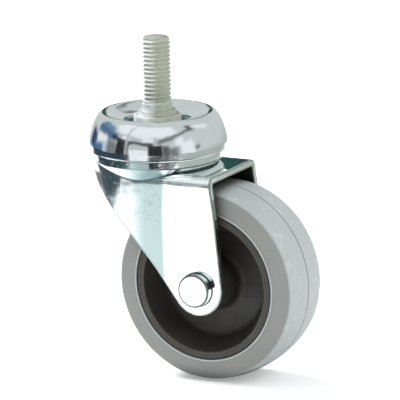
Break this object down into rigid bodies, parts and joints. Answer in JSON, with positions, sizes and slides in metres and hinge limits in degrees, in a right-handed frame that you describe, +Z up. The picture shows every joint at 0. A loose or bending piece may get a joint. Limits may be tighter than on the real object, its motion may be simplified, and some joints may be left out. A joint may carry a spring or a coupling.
{
  "type": "swivel castor",
  "caption": "Threaded-stem swivel castor: a chromed ball-race cap over a pressed steel fork, with a grey-tyred plastic wheel that trails behind the stem.",
  "frame": {"origin": "on the swivel axis, at the seat: the small flat collar face round the foot of the threaded stem", "axes": "+Z up along the stem, out of its free end; +X the way the wheel trails; the axle lies along Y, and its formed head is on the -Y side"},
  "size_m": [0.0954, 0.0568, 0.138],
  "materials": {
    "plated_stem": "bright zinc plating over a rolled thread",
    "chromed_cap": "polished chrome",
    "plated_fork": "bright zinc plating, nearly mirror smooth",
    "plated_rivet": "bright zinc plating",
    "plated_steel": "plain zinc plating",
    "ball_steel": "ground and polished",
    "grey_rubber": "matt grey non-marking rubber with a faint parting line",
    "dark_plastic": "satin moulded plastic, very dark brown-grey",
    "pale_plastic": "natural moulded plastic"
  },
  "bodies": {
    "head": {"threaded_stem": "plated_stem", "top_cap": "chromed_cap", "lower_race_cup": "plated_steel"},
    "fork": {"fork": "plated_fork", "axle_rivet": "plated_rivet", "axle_sleeve": "plated_steel"},
    "wheel": {"hub": "dark_plastic", "tyre": "grey_rubber", "bush_near": "pale_plastic", "bush_far": "pale_plastic"},
    "upper_ball_ring": {"upper_ball_01": "ball_steel", "upper_ball_02": "ball_steel", "upper_ball_03": "ball_steel", "upper_ball_04": "ball_steel", "upper_ball_05": "ball_steel", "upper_ball_06": "ball_steel", "upper_ball_07": "ball_steel", "upper_ball_08": "ball_steel", "upper_ball_09": "ball_steel", "upper_ball_10": "ball_steel", "upper_ball_11": "ball_steel", "upper_ball_12": "ball_steel", "upper_ball_13": "ball_steel", "upper_ball_14": "ball_steel", "upper_ball_15": "ball_steel", "upper_ball_16": "ball_steel", "upper_ball_17": "ball_steel", "upper_ball_18": "ball_steel"},
    "lower_ball_ring": {"lower_ball_01": "ball_steel", "lower_ball_02": "ball_steel", "lower_ball_03": "ball_steel", "lower_ball_04": "ball_steel", "lower_ball_05": "ball_steel", "lower_ball_06": "ball_steel", "lower_ball_07": "ball_steel", "lower_ball_08": "ball_steel", "lower_ball_09": "ball_steel", "lower_ball_10": "ball_steel", "lower_ball_11": "ball_steel", "lower_ball_12": "ball_steel"}
  },
  "joints": [
    {"name": "swivel", "type": "hinge", "parent": "head", "child": "fork", "pos_m": [0, 0, 0], "axis": [0, 0, 1], "continuous": true},
    {"name": "wheel_spin", "type": "hinge", "parent": "fork", "child": "wheel", "pos_m": [0.027, 0, -0.068], "axis": [0, 1, 0], "continuous": true},
    {"name": "upper_ball_orbit", "type": "hinge", "parent": "head", "child": "upper_ball_ring", "pos_m": [0, 0, 0], "axis": [0, 0, 1], "continuous": true},
    {"name": "lower_ball_orbit", "type": "hinge", "parent": "head", "child": "lower_ball_ring", "pos_m": [0, 0, 0], "axis": [0, 0, 1], "continuous": true}
  ],
  "couplings": [
    {"joint": "upper_ball_orbit", "follows": "swivel", "ratio": 0.5},
    {"joint": "lower_ball_orbit", "follows": "swivel", "ratio": 0.5}
  ]
}
